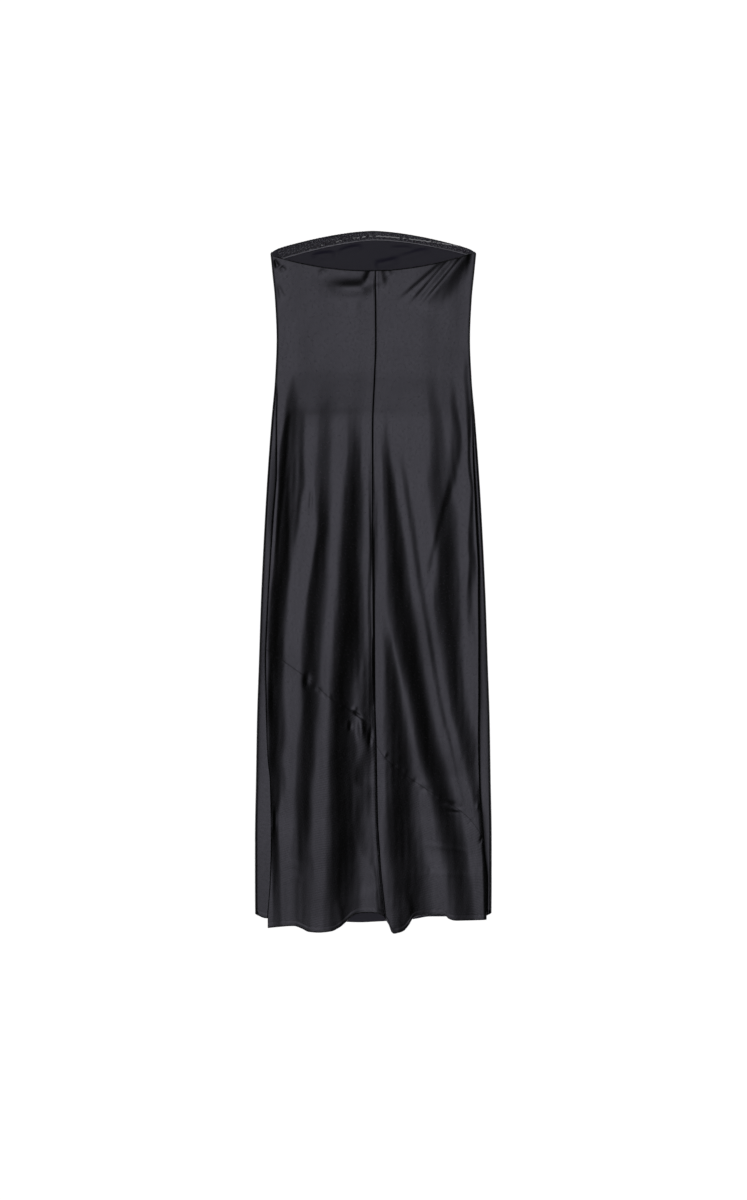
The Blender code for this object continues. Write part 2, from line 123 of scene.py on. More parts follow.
# The folds are slopes that start below the bust or the hips and spread towards the hem. Each
# is a list of height on the dress, x of its steepest line, reach to the left and to the right
# of that, and how far the cloth rises across it.
foldSlopes = {
    "hipRise": (
        (590, -125, 46, 100, 2.4), (490, -125, 46, 100, 3.1), (400, -125, 46, 100, 3.5),
        (328, -125, 46, 80, 4), (310, -125, 46, 80, 3.8), (250, -125, 46, 80, 0.6),
        (220, -125, 46, 80, 0),
    ),
    "flankFall": (
        (590, 128, 50, 42, -1), (378, 128, 50, 42, -2), (328, 128, 50, 42, -2),
        (180, 128, 50, 42, 0),
    ),
    "leftRise": (
        (378, -146, 8, 8, 0), (364, -145, 9, 9, 0.5), (347, -146, 9, 12, 1.1),
        (328, -148.5, 10, 17, 2), (310, -150.5, 11, 24, 3), (292, -152.5, 12, 30, 4),
        (261, -156, 12, 34, 5), (223, -161, 10, 38, 5.8), (184, -165, 7, 41, 6.6),
        (112, -160, 15, 27, 5.9), (40, -163, 16, 21, 6), (-32, -173, 17, 23, 7),
        (-122, -180, 12, 25, 6.4), (-212, -180, 12, 24, 4.9), (-284, -182, 9, 30, 5.6),
        (-320, -184, 6, 25, 5), (-356, -181, 8, 27, 4.5), (-428, -179, 8, 10, 2.8),
        (-518, -176, 8, 11, 2.2), (-600, -173, 8, 11, 1.4),
    ),
    "leftEdge": (
        (312, -150, 6, 6, 0), (299, -152, 6, 6, 0.6), (281, -155, 7, 6, 1),
        (261, -158, 8, 7, 1.2), (241, -160, 9, 9, 1.3), (223, -162, 8, 9, 1.2),
        (184, -165.5, 6, 9, 0.9), (112, -171, 4.5, 6, 1.2), (40, -176, 4, 6, 0.9),
        (-10, -180, 4, 6, 0.3), (-40, -182, 4, 6, 0), (-150, -187, 5, 7, 0),
        (-212, -186.5, 5, 8, 1), (-270, -187, 5, 8, 0.3), (-300, -187, 5, 8, 0),
    ),
    "innerRipple": (
        (190, -156, 5, 5, 0), (150, -156, 5, 5, 0.2), (112, -155.5, 5, 5, 0.4),
        (40, -156.5, 5, 5, 0.45), (-32, -158, 5, 5, 0.2), (-60, -160, 5, 5, 0),
    ),
    "leftRipple": (
        (330, -126, 6, 6, 0), (300, -126, 6, 6, 0.4), (238, -127, 8, 5, 0.9),
        (184, -125.5, 9, 4, 1.3), (148, -131, 7, 5, 1), (112, -136, 6, 6, 0.9),
        (40, -140, 6, 6, 0), (0, -140, 6, 6, 0),
    ),
    "shoulderRise": (
        (540, -84, 34, 34, 0), (460, -84, 34, 34, 0.1), (400, -84, 32, 32, 0.4),
        (345, -84, 28, 28, 1.1), (292, -85, 20, 22, 2.3), (238, -88, 20, 20, 3.5),
        (184, -92, 17, 22, 4.4), (112, -92, 13, 18, 5), (40, -103, 8, 27, 6),
        (-32, -110, 13, 33, 7.4), (-122, -114.5, 17, 27, 6.4), (-221, -116, 16, 24, 6.2),
        (-320, -118, 24, 18, 6), (-374, -121, 24, 16, 5.6), (-428, -123, 23, 19, 5.5),
        (-482, -127, 24, 20, 4.5), (-518, -125, 24, 24, 3.8), (-600, -125, 22, 20, 3),
    ),
    "leftFall": (
        (540, -36, 36, 36, 0), (460, -36, 36, 36, 0), (400, -36, 34, 32, -0.4),
        (345, -36, 26, 24, -0.9), (292, -36, 17, 18, -2), (238, -33, 18, 16, -3.7),
        (184, -35, 22, 20, -6), (112, -38, 25, 24, -8), (40, -42, 25, 26, -9),
        (-32, -44, 28, 29, -10.4), (-122, -49, 31, 32, -12.3), (-221, -60, 25, 32, -11.6),
        (-284, -61, 26, 45, -13), (-320, -62, 25, 45, -13), (-374, -62, 24, 45, -12.9),
        (-428, -61, 28, 46, -13.4), (-482, -56, 34, 40, -13.8), (-536, -56, 38, 40, -13.6),
        (-572, -53, 46, 37, -12.6), (-600, -52, 48, 37, -12),
    ),
    "floorFall": (
        (30, -16, 24, 14, 0), (-32, -16, 24, 14, -0.2), (-122, -12, 24, 12, -2.4),
        (-221, -9, 26, 14, -5.4), (-284, -4.5, 13, 9, -3.3), (-356, -13, 25, 13, -3.6),
        (-374, -10, 18, 13, -3.4), (-428, -13, 24, 15, -2.6), (-482, -8, 18, 14, -2.2),
        (-536, 8, 7, 5, -1.1), (-572, 11.7, 9, 7, -2.1), (-600, 13, 9, 7, -2.1),
    ),
    "seamLip": (
        (330, -6.5, 3, 3, 0), (280, -6.5, 3, 3, 0), (238, -6.8, 3, 3, -0.2),
        (184, -6.8, 3, 3, -0.5), (112, -6, 3, 3, -0.9), (40, -4.6, 5, 3, -1.2),
        (-32, -4.2, 8, 3, -1.4), (-122, -6, 3, 3, -0.6), (-221, -5.5, 3, 3, -0.3),
        (-270, -5, 3, 3, 0), (-320, -5, 3, 3, 0),
    ),
    "seamWall": (
        (230, 2, 3, 5, 0), (184, 2, 3, 6, 0.5), (112, 4.5, 4, 4, 0.8), (40, 0, 4, 10, 1.7),
        (-32, -1, 5, 6, 2.2), (-122, 0.6, 2, 3, 2.8), (-221, 1.4, 1.2, 2.4, 6.8),
        (-284, 3.1, 1.2, 2.6, 8.4), (-320, 3.6, 1.2, 2.6, 9.9), (-428, 5.8, 1.3, 2.6, 12.8),
        (-482, 9, 1.4, 2.8, 14.4), (-518, 11.3, 1.4, 2.8, 15.2), (-572, 16.8, 1.4, 3, 15.2),
        (-600, 19.6, 1.4, 3.2, 14.6),
    ),
    "centreFall": (
        (-40, 20, 12, 10, 0), (-70, 22, 12, 11, -0.6), (-122, 28, 15, 13, -3.8),
        (-221, 39, 26, 20, -8.2), (-320, 47, 31, 28, -10.3), (-356, 42, 25, 41, -11.2),
        (-428, 42, 27, 48, -12.4), (-482, 47, 31, 52, -13.4), (-518, 52, 33, 56, -13.6),
        (-600, 62, 36, 52, -12.8),
    ),
    "rightRise": (
        (350, 21, 12, 12, 0), (320, 21, 12, 12, 0.2), (290, 21, 11, 11, 0.7),
        (260, 21, 11, 11, 1.4), (238, 22, 11, 11, 2), (184, 28, 14, 14, 4),
        (112, 36, 20, 17, 6), (40, 42, 24, 24, 8), (-32, 54, 36, 22, 9.6),
        (-122, 66.5, 31, 25, 9.2), (-221, 84, 24, 23, 8.4), (-284, 93, 22, 30, 9),
        (-356, 111, 22, 33, 8.8), (-428, 134, 30, 31, 9.4), (-482, 147, 34, 27, 9.3),
        (-536, 154, 30, 28, 8.2), (-600, 162, 30, 30, 7.4),
    ),
    "crestStep": (
        (290, 44, 7, 7, 0), (250, 46, 7, 7, -0.2), (184, 57, 8, 7, -1.1),
        (112, 67.5, 8, 8, -1.6), (40, 77.5, 7, 7, -1.5), (-32, 88.5, 8, 8, -1.5),
        (-122, 104.5, 7, 7, -1.5), (-221, 122, 8, 6, -1.3), (-284, 137, 6, 5, -0.9),
        (-320, 145, 5, 5, -0.7), (-428, 168, 5, 5, -0.15), (-500, 184, 5, 5, 0),
        (-540, 186, 5, 5, 0),
    ),
    "rightFall": (
        (520, 105, 24, 24, 0), (440, 105, 22, 22, -0.2), (385, 104, 14, 14, -0.5),
        (360, 104, 12, 13, -0.8), (340, 104, 11, 13, -1.1), (301, 110, 12, 14, -1.3),
        (270, 114, 14, 17, -1.7), (240, 116, 16, 21, -2.6), (184, 114, 21, 27, -4.7),
        (112, 124, 24, 34, -6.8), (40, 130, 20, 29, -7.4), (-32, 131, 27, 31, -8.6),
        (-122, 139, 24, 25, -7.4), (-221, 148, 15, 27, -6), (-284, 161, 13, 30, -5.6),
        (-356, 178, 13, 13, -2.6), (-392, 184, 9, 9, -1.8), (-428, 187, 8, 8, -0.6),
        (-518, 190, 8, 8, 0), (-600, 190, 8, 8, 0),
    ),
    "diagonalStep": (
        (366, 144, 8, 8, 0), (346, 144, 8, 8, -0.6), (330, 144, 8, 8, -1),
        (301, 147, 9, 8, -1.5), (275, 152, 14, 7, -1.9), (250, 154, 20, 7, -2.5),
        (225, 151.5, 20, 7, -2.7), (202, 146, 14, 8, -2.4), (184, 140.5, 8, 12, -2.2),
        (148, 130, 5, 9, -1.2), (112, 120.5, 4, 5, -0.7), (40, 103, 5, 5, -1),
        (8, 97, 5, 5, -0.3), (-30, 90, 5, 5, 0),
    ),
    "rightStep": (
        (420, 166.5, 6, 5, 0), (400, 167, 6, 5, -0.4), (364, 167.5, 7, 5, -0.9),
        (328, 170.6, 7, 4, -1.1), (300, 173, 8, 4, -1.4), (274, 172.5, 5, 4.5, -1.3),
        (238, 172, 3.5, 3, -0.9), (202, 173.2, 4, 4, -1.1), (166, 178, 5, 2.5, -1),
        (130, 177.3, 6, 3, -1.3), (94, 173.7, 4.5, 8, -1.7), (67, 175.5, 8, 7, -2),
        (40, 175.5, 5, 11, -2), (-32, 173, 8, 9, -1.4), (-90, 176, 8, 8, -0.7),
        (-150, 178, 8, 8, 0),
    ),
    "edgeFall": (
        (-350, 190, 8, 3, 0), (-380, 192, 7, 3, -0.7), (-428, 195, 7, 4, -1.5),
        (-518, 202, 7, 4, -2.2), (-600, 203, 6, 4, -2),
    ),
}


# A smooth curve through knots that never overshoots them: cubic pieces whose slope at a
# knot is the harmonic mean of the slopes on either side, or level at a turn.
def through(knots, values, at):
    knots, values = np.asarray(knots, float), np.asarray(values, float)
    order = np.argsort(knots)
    knots, values = knots[order], values[order]
    span = np.diff(knots)
    rise = np.diff(values) / span
    product, total = rise[:-1] * rise[1:], rise[:-1] + rise[1:]
    slope = np.zeros(len(knots))
    slope[1:-1] = np.where(product > 0, 2 * product / np.where(product > 0, total, 1), 0)
    slope[0], slope[-1] = rise[0], rise[-1]
    at = np.clip(at, knots[0], knots[-1])
    low = np.clip(np.searchsorted(knots, at) - 1, 0, len(span) - 1)
    t = (at - knots[low]) / span[low]
    level = values[low] * (2 * t**3 - 3 * t**2 + 1) + values[low + 1] * (3 * t**2 - 2 * t**3)
    return level + span[low] * (slope[low] * (t**3 - 2 * t**2 + t) + slope[low + 1] * (t**3 - t**2))


# The curve through column `number` of a table over its first column, both turned to metres
def followed(rows, number, at):
    return through([row[0] for row in rows], [row[number] for row in rows], at * 1000) / 1000


def halfWidth(y):
    return followed(sideRows, 1, y)


def leftSeam(y):
    return followed(leftSeamRows, 1, y) - halfWidth(y)


def rightSeam(y):
    return halfWidth(y) - followed(rightSeamRows, 1, y)


def centreSeam(y):
    return followed(centreRows, 1, y)


def diagonalSeam(x):
    return followed(diagonalRows, 1, x)


def backHem(x):
    return followed(backHemRows, 1, x)


def frontHem(x):
    return followed(frontHemRows, 1, x)


# The front neck falls from its peak as a power of x, and its corners as a much higher power
def frontNeck(x):
    fall = lie["frontFall"] * (abs(x) / lie["frontFallAt"]) ** lie["frontCurve"]
    corner = lie["cornerFall"] * (abs(x) / lie["cornerAt"]) ** lie["cornerSharpness"]
    return lie["frontPeak"] - fall - corner


# The back neck is a parabola on a slant
def backNeck(x):
    return lie["backDip"] + lie["backRise"] * (x / lie["backRiseAt"]) ** 2 + lie["backTilt"] * x


# From 0 to 1 with a level start and end: three squares of t less two cubes
def ease(t):
    t = np.clip(t, 0, 1)
    return t * t * (3 - 2 * t)


# Falls from 1 on both sides: e to minus the square of distance over width
def bell(distance, width):
    return np.exp(-((distance / width) ** 2))


# Height of the cloth along both sides
def sideHeight(y):
    share = ease((lie["hemHeightFrom"] - y) / (lie["hemHeightFrom"] - lie["hemHeightFull"]))
    return lie["sideHeight"] + (lie["hemHeight"] - lie["sideHeight"]) * share


# How far across a slope a point lies, 0 to 1: the steepness falls off as a parabola on each
# side of the steepest line
def acrossSlope(x, middle, left, right):
    out = np.clip(x - middle, -left, right)
    reach = np.where(out < 0, left, right)
    return (2 * left / 3 + out - out**3 / (3 * reach**2)) / (2 * (left + right) / 3)


# Height of the folds above the side seams: the sum of the slopes from the left seam, less an
# even tilt that brings it back to nothing at the right seam
def foldHeight(x, y):
    start, end = leftSeam(y), rightSeam(y)
    total, last = 0 * x, 0 * y
    for rows in foldSlopes.values():
        middle, left, right, rise = [followed(rows, number, y) for number in (1, 2, 3, 4)]
        first = acrossSlope(start, middle, left, right)
        total = total + rise * (acrossSlope(x, middle, left, right) - first)
        last = last + rise * (acrossSlope(end, middle, left, right) - first)
    return total - last * (x - start) / (end - start)


# Creases: start x, y, end x, y, bow, reach to the left and to the right of the line, height,
# and the shares of the length over which it fades in and out
creaseRows = (
    # pulls that run down and in from the right neck corner: three steps up towards the
    # corner, then a wide fall beyond them
    (144, 591, 38, 498, 1, 9, 4.5, 1.1, 0.28, 0.32),
    (156, 600, 57, 488, 1, 9, 4.5, 1.55, 0.24, 0.32),
    (180, 608, 78, 486, 1, 9, 4.5, 1.75, 0.2, 0.32),
    (180, 607, 90, 479, 1, 14.5, 55, 2.6, 0.34, 0.42),
    # crescent beside the zip, with a hook at its right end
    (-98, 530, 11, 532, -3, 12, 18, 3.2, 0.5, 0.33),
    (3, 574, -17, 528, 0, 20, 8, 2.4, 0.1, 0.4),
    (-58, 502, -18, 501, -1, 6.5, 16, 0.45, 0.4, 0.4),
    # small pulls right of the zip
    (12, 568, 17, 524, 0, 7.5, 16, 1.3, 0.2, 0.45),
    (25, 562, 31, 548, 0, 4.5, 8, 0.6, 0.2, 0.4),
    # small pulls at the left neck corner
    (-181, 579, -168, 563, 0, 4.5, 7, 1.2, 0.25, 0.4),
    (-167, 568, -156, 556, 0, 4, 6, 0.8, 0.3, 0.5),
    (-176, 537, -158, 500, 2, 4, 8, 0.5, 0.3, 0.5),
    (-94, 563, -86, 549, 0, 5, 6, 0.6, 0.3, 0.4),
    (-110, 548, -78, 508, 2, 5, 9, 0.35, 0.3, 0.5),
    (-60, 566, -52, 552, 0, 4, 5, 0.35, 0.3, 0.4),
    # a streak down the left crest
    (-110, 172, -116, 104, 0, 3, 1.8, 0.5, 0.2, 0.6),
    # short folds that rise at the hem
    (61, -550, 67, -616, 0, 5, 9, 0.55, 0.5, 0.1),
    (-63, -560, -58, -616, 0, 5, 6, 0.45, 0.5, 0.1),
    # where the skirt was folded in its packet
    (78, -470, 176, -484, 0, 3.5, 4, 0.22, 0.2, 0.2),
    (74, -523, 178, -526, 0, 3.5, 4, 0.18, 0.2, 0.2),
    (-160, -504, -120, -512, 0, 3, 3, 0.2, 0.3, 0.3),
    (-152, -532, -122, -534, 0, 3, 3, 0.16, 0.3, 0.3),
)

# creases of the front that show inside the neck
insideRows = (
    (-114, 585, -64, 591, 2, 4, 9, 1.5, 0.3, 0.3),
    (-68, 591, -16, 604, 3, 4, 9, 1.3, 0.3, 0.3),
    (0, 572, 54, 585, -2, 4.5, 10, 1.8, 0.2, 0.4),
    (40, 581, 106, 599, 2, 4, 9, 1.3, 0.4, 0.3),
    (28, 601, 74, 601, 0, 3.5, 5, 0.8, 0.3, 0.3),
)


# A crease is a bell across a line that bows like a parabola and fades at both ends; its two
# sides reach differently far
def creases(x, y, rows):
    total = 0 * x
    for startX, startY, endX, endY, bow, left, right, height, fadeIn, fadeOut in rows:
        alongX, alongY = endX - startX, endY - startY
        length = math.hypot(alongX, alongY)
        fromX, fromY = x * 1000 - startX, y * 1000 - startY
        share = (fromX * alongX + fromY * alongY) / length**2
        side = (fromY * alongX - fromX * alongY) / length - bow * 4 * share * (1 - share)
        fade = ease(share / fadeIn) * ease((1 - share) / fadeOut)
        total = total + height / 1000 * bell(side, np.where(side > 0, left, right)) * fade
    return total


creaseFade = {"left": 0.006, "right": 0.014}  # over this far in from each side seam


# The creases of the cloth on top, which fade out towards the side seams
def topCreases(x, y):
    fromLeft = ease((x - leftSeam(y)) / creaseFade["left"])
    return creases(x, y, creaseRows) * fromLeft * ease((rightSeam(y) - x) / creaseFade["right"])


unevenness = {
    "soft": (0.00010, 0.060, 4),  # height, length and seed of the waves
    "fine": (0.000022, 0.014, 9),
    "waves": 9,
    "spread": (0.7, 1.6),     # how much shorter and longer than that length they come
    "across": 1.6,            # they are closer across the dress than along it
    "along": 0.7,
}


# Soft unevenness of hanging cloth: a third of the sum of slow sine waves in all directions
def ripple(x, y, height, size, seed):
    pick = np.random.default_rng(seed)
    total = 0 * x
    for _ in range(unevenness["waves"]):
        turn = pick.uniform(0, 2 * math.pi)
        length = size * pick.uniform(*unevenness["spread"])
        across = x * math.cos(turn) * unevenness["across"]
        along = y * math.sin(turn) * unevenness["along"]
        phase = (across + along) * 2 * math.pi / length
        total = total + np.sin(phase + pick.uniform(0, 2 * math.pi))
    return height * total / 3


streak = {
    "height": 0.000032,
    "count": 10,
    "seed": 11,
    "width": (0.009, 0.020),
    "widthAt": 0.2,           # the half width of the dress where they are that wide
    "length": (0.12, 0.40),
    "wander": 1.8,            # how far they stray sideways, as an angle of their wave
    "from": 0.42,             # they start at the waist and are full at the hips
    "full": 0.20,
}


# Fine lengthwise streaks that spread with the skirt: a third of the sum of sines across the
# width, which wander slowly down it
def streaks(x, y):
    pick = np.random.default_rng(streak["seed"])
    across = x / halfWidth(y) * streak["widthAt"]
    total = 0 * x
    for _ in range(streak["count"]):
        wide, long = pick.uniform(*streak["width"]), pick.uniform(*streak["length"])
        wander = streak["wander"] * np.sin(2 * math.pi * (y / long + pick.uniform(0, 1)))
        total = total + np.sin(2 * math.pi * (across / wide + pick.uniform(0, 1)) + wander)
    return streak["height"] * total / 3 * ease((streak["from"] - y) / (streak["from"] - streak["full"]))


# Puckers along the slanting seam: x, y, turn in degrees, half length, half width, height
puckerRows = (
    (-160, -143, 60, 5, 2, -0.2), (-140, -157, 50, 6, 2.2, 0.25), (-119, -176, 80, 11, 5, 1.35),
    (-104, -186, 60, 5, 2.4, 0.3), (-98, -193, 40, 5, 2.6, -0.7), (-86, -203, 70, 5, 1.8, -0.5),
    (-80, -203, 70, 4, 1.8, 0.4), (-73, -208, 90, 4, 1.6, -0.45), (-67, -210, 80, 4, 1.6, -0.3),
    (-55, -222, 40, 6, 2.6, 0.3), (-33.5, -229, 60, 6, 3.2, 0.8), (-29, -238, -35, 12, 2.8, -0.9),
    (-41, -259, 80, 7, 3.2, -0.8), (-46, -258, 80, 7, 2.6, 0.4), (-22, -266, 92, 22, 6.5, 1.75),
    (-5, -280, 85, 15, 3.8, -1.1), (21, -311, 60, 6, 3, 0.6), (38, -330, 30, 6, 2.4, -0.35),
    (58, -340, 60, 5, 2.2, 0.3), (76, -357, 50, 6, 2.6, -0.65), (84, -364, 60, 5, 2.4, 0.5),
    (92, -372, 40, 6, 2.4, -0.6), (101, -379, 60, 5, 2.2, 0.4), (118, -386, 50, 5, 2, -0.25),
    (136, -398, 12, 9, 3, -0.8), (147, -409, 5, 9, 2.6, 0.55), (146, -413, 5, 9, 2.2, -0.45),
    (158, -404, 60, 5, 2.4, -0.4), (187, -403, 80, 6, 3, 0.4), (176, -430, 50, 6, 2.2, -0.35),
    (194, -462, 70, 7, 2.8, -0.65), (201, -461, 110, 6, 2.2, 0.5), (-181, -434, 88, 16, 3, -0.9),
    (-176, -428, 86, 14, 2.4, 0.35), (103, -517, 70, 6, 2.4, -0.3), (97, -522, 20, 6, 2.2, 0.25),
)


# A pucker is a bell along and across its own direction
def puckers(x, y):
    total = 0 * x
    for middleX, middleY, turn, long, wide, height in puckerRows:
        fromX, fromY = x * 1000 - middleX, y * 1000 - middleY
        c, s = math.cos(math.radians(turn)), math.sin(math.radians(turn))
        along, across = fromX * c + fromY * s, fromY * c - fromX * s
        total = total + height / 1000 * bell(along, long) * bell(across, wide)
    return total


seams = {
    "centreDrop": 0.0005,     # both lips of the centre-back seam roll down this far
    "centreRoll": 0.0009,
    "neckShare": 0.55,        # only this share of it at the neck, and all of it further down
    "neckFrom": 0.60,
    "neckOver": 0.16,
    "centreRidge": 0.00010,   # and the cloth stands up a little beside it
    "centreRidgeAt": 0.0042,
    "centreRidgeWidth": 0.0016,
    "sideRoll": 0.0011,       # how wide the side seams roll, whose depth is in their tables
    "diagonalDrop": 0.00002,
    "diagonalRoll": 0.0009,
    "diagonalLean": 0.75,     # distance from the slanting seam over distance along Y
}


# The cloth rolls down at its seams and stands up a little beside the centre one: bells of
# the distance from each
def seamDips(x, y):
    fromCentre = x - centreSeam(y)
    below = ease((seams["neckFrom"] - y) / seams["neckOver"])
    share = seams["neckShare"] + (1 - seams["neckShare"]) * below
    total = -seams["centreDrop"] * share * bell(fromCentre, seams["centreRoll"])
    beside = abs(fromCentre) - seams["centreRidgeAt"]
    total = total + seams["centreRidge"] * bell(beside, seams["centreRidgeWidth"])
    for rows, seam in ((leftSeamRows, leftSeam), (rightSeamRows, rightSeam)):
        down = followed(rows, 2, y) + followed(rows, 3, y)
        total = total - down * bell(x - seam(y), seams["sideRoll"])
    fromDiagonal = (y - diagonalSeam(x)) * seams["diagonalLean"]
    return total - seams["diagonalDrop"] * bell(fromDiagonal, seams["diagonalRoll"])


# Height of the outer face of the cloth on top: the sum of all that is above
def backHeight(x, y):
    above = ease((y - lie["centreDipEnd"]) / lie["centreDipFade"])
    dip = lie["centreDip"] * bell(x - centreSeam(y), lie["centreDipWidth"]) * above
    level = sideHeight(y) - dip + foldHeight(x, y) + topCreases(x, y) + puckers(x, y) + seamDips(x, y)
    return level + streaks(x, y) + ripple(x, y, *unevenness["soft"]) + ripple(x, y, *unevenness["fine"])


# Shares from 0 to 1 that lie closer together towards both ends: t less a part of its sine
def crowded(count, amount):
    t = np.linspace(0, 1, count + 1)
    return t - amount * np.sin(2 * math.pi * t) / (2 * math.pi)


# A mesh over a grid of points, with a UV map in metres along the cloth
def gridPiece(name, points, materials):
    rows, columns = points.shape[:2]
    corner = np.arange(rows * columns).reshape(rows, columns)
    faces = np.stack([corner[:-1, :-1], corner[1:, :-1], corner[1:, 1:], corner[:-1, 1:]], axis=-1)
    faces = faces.reshape(-1, 4)
    mesh = bpy.data.meshes.new(name)
    mesh.vertices.add(rows * columns)
    mesh.vertices.foreach_set("co", points.reshape(-1).astype(np.float32))
    mesh.loops.add(faces.size)
    mesh.loops.foreach_set("vertex_index", faces.reshape(-1).astype(np.int32))
    mesh.polygons.add(len(faces))
    mesh.polygons.foreach_set("loop_start", np.arange(0, faces.size, 4, dtype=np.int32))
    mesh.polygons.foreach_set("use_smooth", np.ones(len(faces), dtype=bool))
    mesh.update(calc_edges=True)
    across = np.linalg.norm(np.diff(points, axis=1), axis=2)
    along = np.linalg.norm(np.diff(points, axis=0), axis=2)
    u = np.concatenate([np.zeros((rows, 1)), np.cumsum(across, axis=1)], axis=1)
    u = u - u[:, columns // 2:columns // 2 + 1]
    v = np.concatenate([np.zeros((1, columns)), np.cumsum(along, axis=0)], axis=0)
    uv = np.stack([u, -v], axis=-1).reshape(-1, 2)[faces.reshape(-1)]
    mesh.uv_layers.new(name="cloth").data.foreach_set("uv", uv.reshape(-1).astype(np.float32))
    for surface in materials:
        mesh.materials.append(surface)
    piece = bpy.data.objects.new(name, mesh)
    bpy.context.scene.collection.objects.link(piece)
    return piece


# Thickens a grid inwards; its inner face takes the second material
def thicken(piece, thickness, inner=1):
    wall = piece.modifiers.new("wall", "SOLIDIFY")
    wall.thickness = thickness
    wall.offset = -1
    wall.material_offset = inner
    wall.material_offset_rim = 0


# The linear values of an sRGB hex colour
def linear(hexColour):
    parts = [int(hexColour[i:i + 2], 16) / 255 for i in (1, 3, 5)]
    return (*[p / 12.92 if p <= 0.04045 else ((p + 0.055) / 1.055) ** 2.4 for p in parts], 1)


# Adds one shader node with its settings, values of its sockets, and links that each name
# another node and its output
def addNode(tree, kind, settings=None, values=None, links=None):
    node = tree.nodes.new("ShaderNode" + kind)
    for name, value in (settings or {}).items():
        setattr(node, name, value)
    for name, value in (values or {}).items():
        node.inputs[name].default_value = value
    for name, (source, output) in (links or {}).items():
        tree.links.new(source.outputs[output], node.inputs[name])
    return node


# A material whose nodes are laid by a function that gives back its shader
def newMaterial(name, layNodes):
    surface = bpy.data.materials.new(name)
    surface.use_nodes = True
    tree = surface.node_tree
    tree.nodes.clear()
    shader = layNodes(tree)
    addNode(tree, "OutputMaterial", None, None, {"Surface": (shader, "BSDF")})
    return surface


bandLength = 0.314  # how far apart the bands of a wave texture lie at scale 1
smoothStep = {"interpolation_type": "SMOOTHSTEP"}


# The stretch over which a map range goes from 0 to 1
def between(first, last):
    return {"From Min": first, "From Max": last}


# Polyester charmeuse satin, woven with long floats and cut on the bias: a smooth face that
# mirrors the light softly and goes black where it turns away, with a faint slanting grain.
satin = {
    "colour": "#0b0c07",
    "sheen": "#eeebff",       # the dyed thread turns its reflection a little violet
    "roughness": 0.25,
    "ior": 1.50,
    "bias": 45,               # degrees between the threads and the length of the cloth
    "weavePitch": 0.0030,     # drawn about ten times as coarse as the threads, to show
    "weaveDepth": 0.000065,
    "weaveStray": 3.0,
    "floatSize": 0.0050,      # patches of longer and shorter floats, drawn coarse to show
    "floatChange": 0.036,     # how much rougher or smoother they are
    "floatRange": (0.3, 0.7),
    "handledSize": 0.009,     # small unevenness left by handling
    "handledDepth": 0.00006,
}


def satinNodes(tree):
    place = addNode(tree, "UVMap", {"uv_map": "cloth"})
    turned = addNode(tree, "Mapping", None, {"Rotation": (0, 0, math.radians(satin["bias"]))},
        {"Vector": (place, "UV")})
    weave = addNode(tree, "TexWave", {"wave_type": "BANDS", "bands_direction": "X"},
        {"Scale": bandLength / satin["weavePitch"], "Distortion": satin["weaveStray"],
         "Detail": 2.0, "Detail Scale": 2.0},
        {"Vector": (turned, "Vector")})
    handled = addNode(tree, "TexNoise", None,
        {"Scale": 1 / satin["handledSize"], "Detail": 2.0},
        {"Vector": (place, "UV")})
    dents = addNode(tree, "Bump", None,
        {"Strength": 0.5, "Distance": satin["handledDepth"]},
        {"Height": (handled, "Fac")})
    bump = addNode(tree, "Bump", None,
        {"Strength": 0.6, "Distance": satin["weaveDepth"]},
        {"Height": (weave, "Fac"), "Normal": (dents, "Normal")})
    floats = addNode(tree, "TexNoise", None,
        {"Scale": 1 / satin["floatSize"], "Detail": 2.0, "Roughness": 0.7},
        {"Vector": (turned, "Vector")})
    rough = addNode(tree, "MapRange", None,
        {**between(*satin["floatRange"]),
         "To Min": satin["roughness"] - satin["floatChange"],
         "To Max": satin["roughness"] + satin["floatChange"]},
        {"Value": (floats, "Fac")})
    return addNode(tree, "BsdfPrincipled", None,
        {"Base Color": linear(satin["colour"]), "IOR": satin["ior"],
         "Specular Tint": linear(satin["sheen"])},
        {"Roughness": (rough, "Result"), "Normal": (bump, "Normal")})


# The back of the satin, where the short floats lie: dull and a little lighter
reverse = {
    "colour": "#2f2b42",
    "roughness": 0.42,
    "specular": 0.27,
    "grainPitch": 0.0012,     # drawn about four times as coarse as the threads, to show
    "grainDepth": 0.00005,
}


def reverseNodes(tree):
    place = addNode(tree, "UVMap", {"uv_map": "cloth"})
    grain = addNode(tree, "TexNoise", None,
        {"Scale": 1 / reverse["grainPitch"], "Detail": 2.0},
        {"Vector": (place, "UV")})
    bump = addNode(tree, "Bump", None, {"Strength": 0.3, "Distance": reverse["grainDepth"]},
        {"Height": (grain, "Fac")})
    return addNode(tree, "BsdfPrincipled", None,
        {"Base Color": linear(reverse["colour"]), "Roughness": reverse["roughness"],
         "Specular IOR Level": reverse["specular"]},
        {"Normal": (bump, "Normal")})


# Woven elastic tape: matt and ribbed, its pale rubber threads between dark yarns, their near-white colour
# also standing in for glints, with a painted highlight as a light line along the selvedge at its inner
# edge, and painted shade on its outer edge
elastic = {
    "colour": "#3c3a46",
    "threadAndGlint": "#c6c4d2",
    "selvedgeHighlight": "#b9b7c3",
    "fold": "#121117",        # painted shade on the outer edge, which folds away from the light
    "roughness": 0.55,
    "specular": 0.3,
    "foldEnd": (0.06, 0.17),  # across the band, where that painted shade ends
    "selvedgeHighlightStart": (0.88, 0.95),
    "ribPitch": 0.0016,
    "ribDepth": 0.0002,
    "threadSize": 0.0024,     # drawn about five times as coarse as the rubber, to show
    "threadGlintShows": (0.49, 0.72),
}


